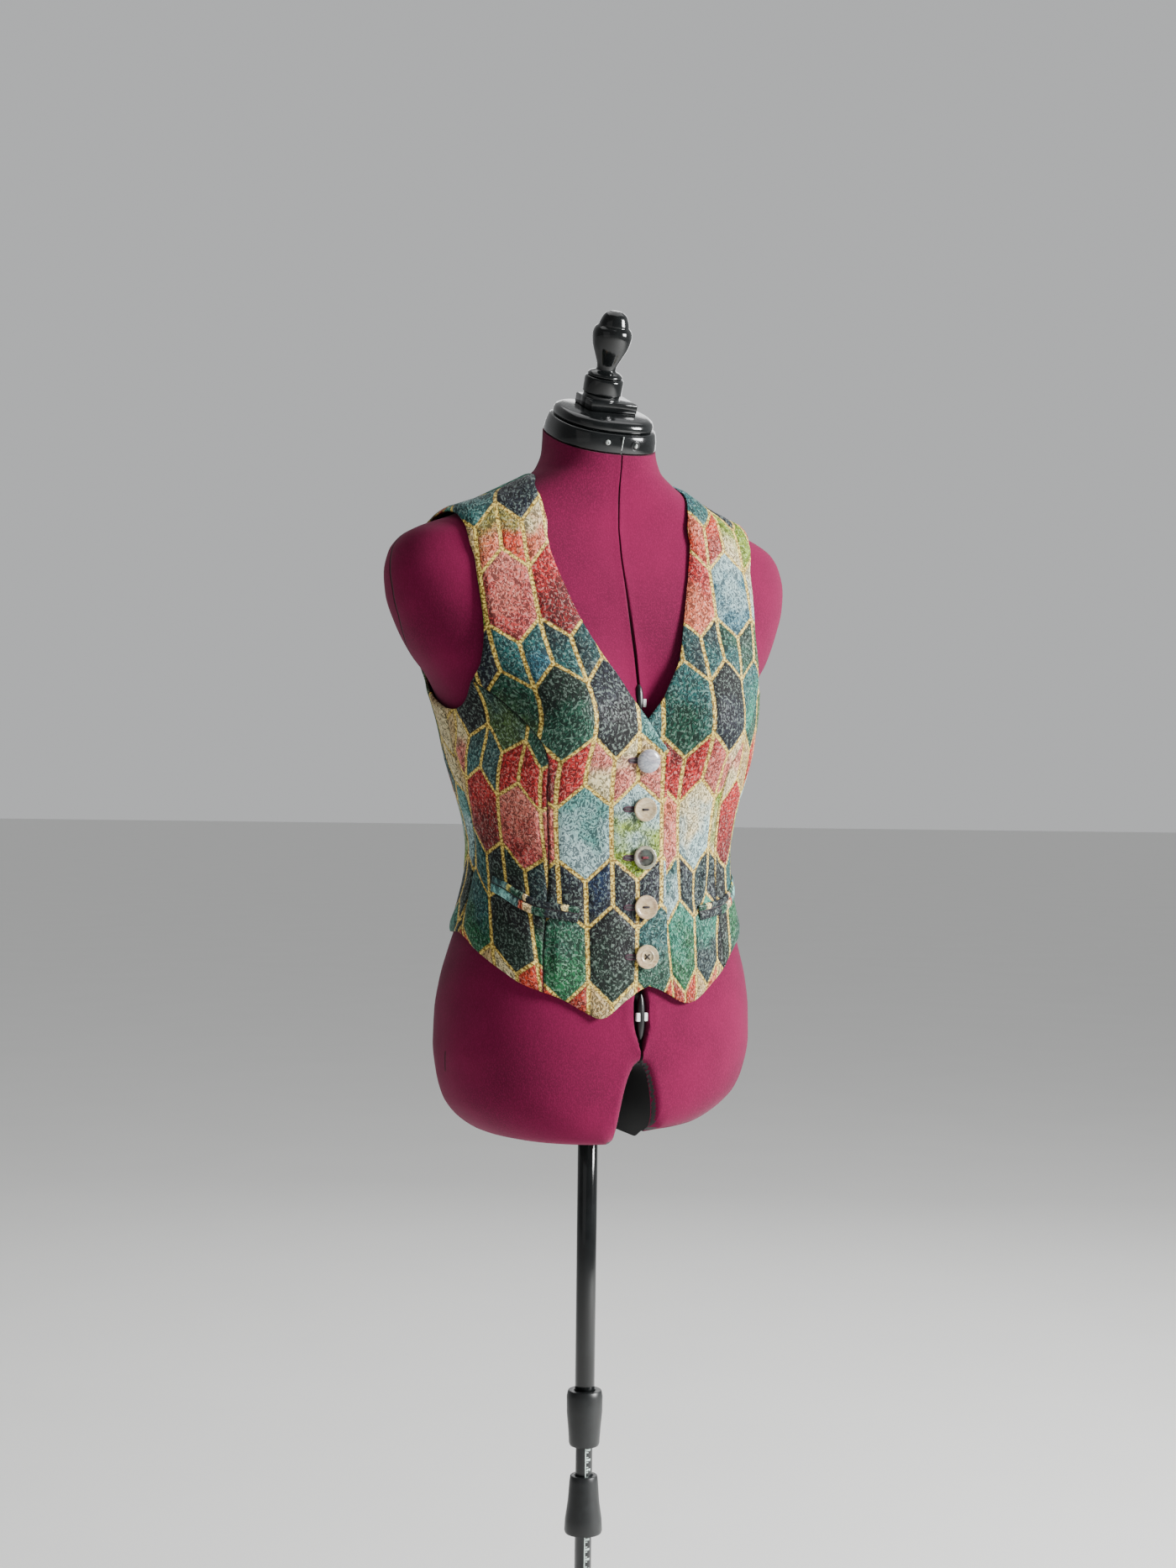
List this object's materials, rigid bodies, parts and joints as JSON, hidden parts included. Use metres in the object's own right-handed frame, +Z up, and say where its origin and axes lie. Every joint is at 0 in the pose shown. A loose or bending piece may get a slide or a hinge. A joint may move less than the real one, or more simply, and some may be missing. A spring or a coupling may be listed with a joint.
{
  "type": "jacquard waistcoat on a limbless dress form with a pole stand",
  "caption": "Sleeveless V-neck jacquard waistcoat with princess seams, jetted pockets and a pointed buttoned front, worn on a limbless dress form on an adjustable pole stand.",
  "frame": {"origin": "on the floor under the pole's axis, the middle of the footprint", "axes": "+Z up along the pole, the wearer's front faces -Y and the wearer's right is -X"},
  "size_m": [0.437, 0.3934, 1.5663],
  "materials": {
    "jacquard": "multicolour jacquard with metallic yarn",
    "jacquard_edge": "dark jacquard welt",
    "pearl": "pearly gloss",
    "smoke_pearl": "smoky pearl gloss",
    "jersey": "matte magenta jersey",
    "black_gloss": "gloss",
    "black_metal": "satin black",
    "black_plastic": "satin black",
    "foot_rubber": "matte",
    "black_tube": "gloss black"
  },
  "bodies": {
    "base": {"hub": "black_metal", "leg_1": "black_metal", "leg_2": "black_metal", "leg_3": "black_metal", "leg_4": "black_metal", "foot_1": "foot_rubber", "foot_2": "foot_rubber", "foot_3": "foot_rubber", "foot_4": "foot_rubber", "lower_tube": "black_tube"},
    "clamp": {"marker_clamp": "black_plastic"},
    "pole": {"upper_pole": "black_tube"},
    "collar": {"twist_collar": "black_plastic"},
    "form": {"torso": "jersey", "neck_band": "black_gloss", "neck_lid": "black_gloss", "cap_pedestal": "black_gloss", "finial": "black_gloss", "centre_front_right": "jacquard", "centre_front_left": "jacquard", "side_front_right": "jacquard", "side_front_left": "jacquard", "back": "jacquard", "pocket_upper_lip_right": "jacquard_edge", "pocket_lower_lip_right": "jacquard_edge", "pocket_upper_lip_left": "jacquard_edge", "pocket_lower_lip_left": "jacquard_edge", "button_1": "pearl", "button_2": "pearl", "button_3": "smoke_pearl", "button_4": "pearl", "button_5": "pearl"}
  },
  "joints": [
    {"name": "height_slide", "type": "slide", "parent": "base", "child": "pole", "axis": [0, 0, 1], "range_m": [-0.025, 0.2]},
    {"name": "form_swivel", "type": "hinge", "parent": "pole", "child": "form", "pos_m": [0, 0, 0.95], "axis": [0, 0, 1], "continuous": true},
    {"name": "collar_twist", "type": "hinge", "parent": "pole", "child": "collar", "pos_m": [0, 0, 0.456], "axis": [0, 0, 1], "range_deg": [0, 90]},
    {"name": "marker_slide", "type": "slide", "parent": "base", "child": "clamp", "axis": [0, 0, 1], "range_m": [-0.16, 0]}
  ]
}
